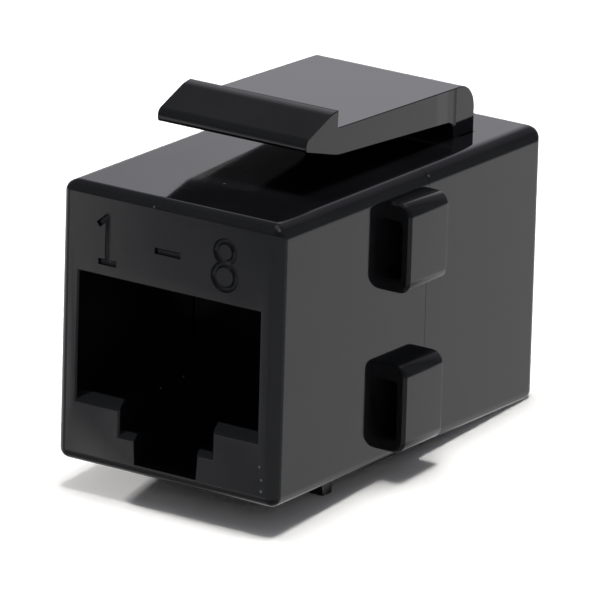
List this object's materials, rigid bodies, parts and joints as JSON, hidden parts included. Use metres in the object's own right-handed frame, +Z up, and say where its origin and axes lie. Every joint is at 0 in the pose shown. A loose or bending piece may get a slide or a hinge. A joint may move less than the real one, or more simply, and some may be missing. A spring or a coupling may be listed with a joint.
{
  "type": "keystone jack inline coupler",
  "caption": "Snap-in keystone module: a small black plastic box with a modular plug port at each end, hollow side catches and a springy latch on top.",
  "frame": {"origin": "centre of the front face, on the axis of the panel opening that the module snaps into", "axes": "+Z up towards the snap latch, -Y out of the front port, +X to the right of someone who looks at the front port"},
  "size_m": [0.0174, 0.0254, 0.0212],
  "materials": {
    "housing_plastic": "smooth moulded black with a light sheen",
    "insulator_plastic": "moulded black insulator",
    "board": "green lacquered board",
    "contact_metal": "gold plated phosphor bronze"
  },
  "bodies": {
    "housing": {"front_shell": "housing_plastic", "rear_shell": "housing_plastic", "front_contact_block": "insulator_plastic", "rear_contact_block": "insulator_plastic", "circuit_board": "board", "front_contact_1": "contact_metal", "front_contact_2": "contact_metal", "front_contact_3": "contact_metal", "front_contact_4": "contact_metal", "front_contact_5": "contact_metal", "front_contact_6": "contact_metal", "front_contact_7": "contact_metal", "front_contact_8": "contact_metal", "rear_contact_1": "contact_metal", "rear_contact_2": "contact_metal", "rear_contact_3": "contact_metal", "rear_contact_4": "contact_metal", "rear_contact_5": "contact_metal", "rear_contact_6": "contact_metal", "rear_contact_7": "contact_metal", "rear_contact_8": "contact_metal"},
    "latch": {"snap_latch": "housing_plastic"}
  },
  "joints": [
    {"name": "latch_flex", "type": "hinge", "parent": "housing", "child": "latch", "pos_m": [0, 0.02117, 0.00838], "axis": [1, 0, 0], "range_deg": [0, 6], "stiffness_Nm_per_rad": 0.5}
  ]
}
